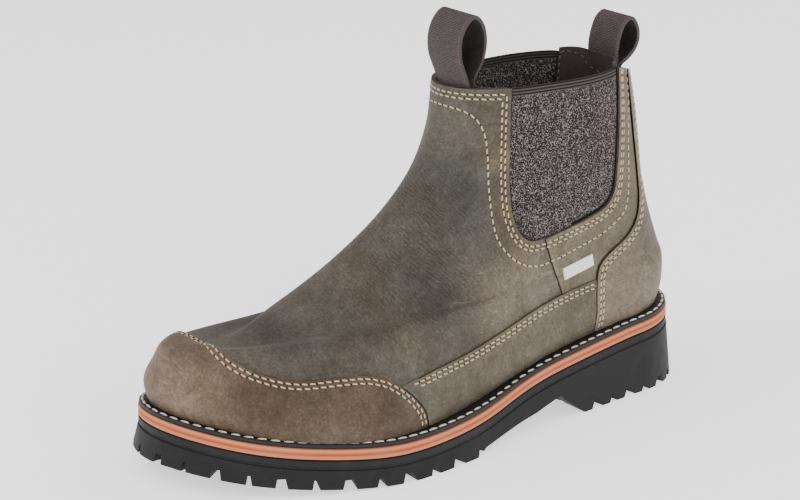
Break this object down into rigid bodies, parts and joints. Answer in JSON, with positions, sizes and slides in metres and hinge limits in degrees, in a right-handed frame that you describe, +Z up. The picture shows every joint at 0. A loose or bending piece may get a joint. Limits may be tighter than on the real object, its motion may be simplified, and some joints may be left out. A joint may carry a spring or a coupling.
{
  "type": "side gore work boot",
  "caption": "Left ankle boot that pulls on, with elastic side panels, toe cap, webbing pull loops and a lugged rubber sole with heel.",
  "frame": {"origin": "centre of the bounding box in plan, on the floor under the sole", "axes": "toe points to -Y, the outer side of the left foot to +X, +Z up from the floor"},
  "size_m": [0.1222, 0.3066, 0.2037],
  "materials": {
    "vamp_leather": "oiled nubuck",
    "cap_leather": "oiled nubuck",
    "panel_leather": "oiled nubuck",
    "counter_leather": "oiled nubuck",
    "black_rubber": "matte moulded",
    "tan_midsole": "matte",
    "welt_strip": "dyed edge",
    "gore_elastic": "ribbed elastic",
    "loop_webbing": "woven",
    "insole_lining": "matte",
    "tag_fabric": "woven"
  },
  "bodies": {
    "root": {"upper": "vamp_leather", "toe_cap": "cap_leather", "heel_counter": "counter_leather", "lateral_side_panel": "panel_leather", "medial_side_panel": "panel_leather", "lateral_gore": "gore_elastic", "medial_gore": "gore_elastic", "front_pull_loop": "loop_webbing", "back_pull_loop": "loop_webbing", "side_tag": "tag_fabric", "insole": "insole_lining", "welt": "welt_strip", "midsole": "tan_midsole", "outsole": "black_rubber"}
  },
  "joints": []
}
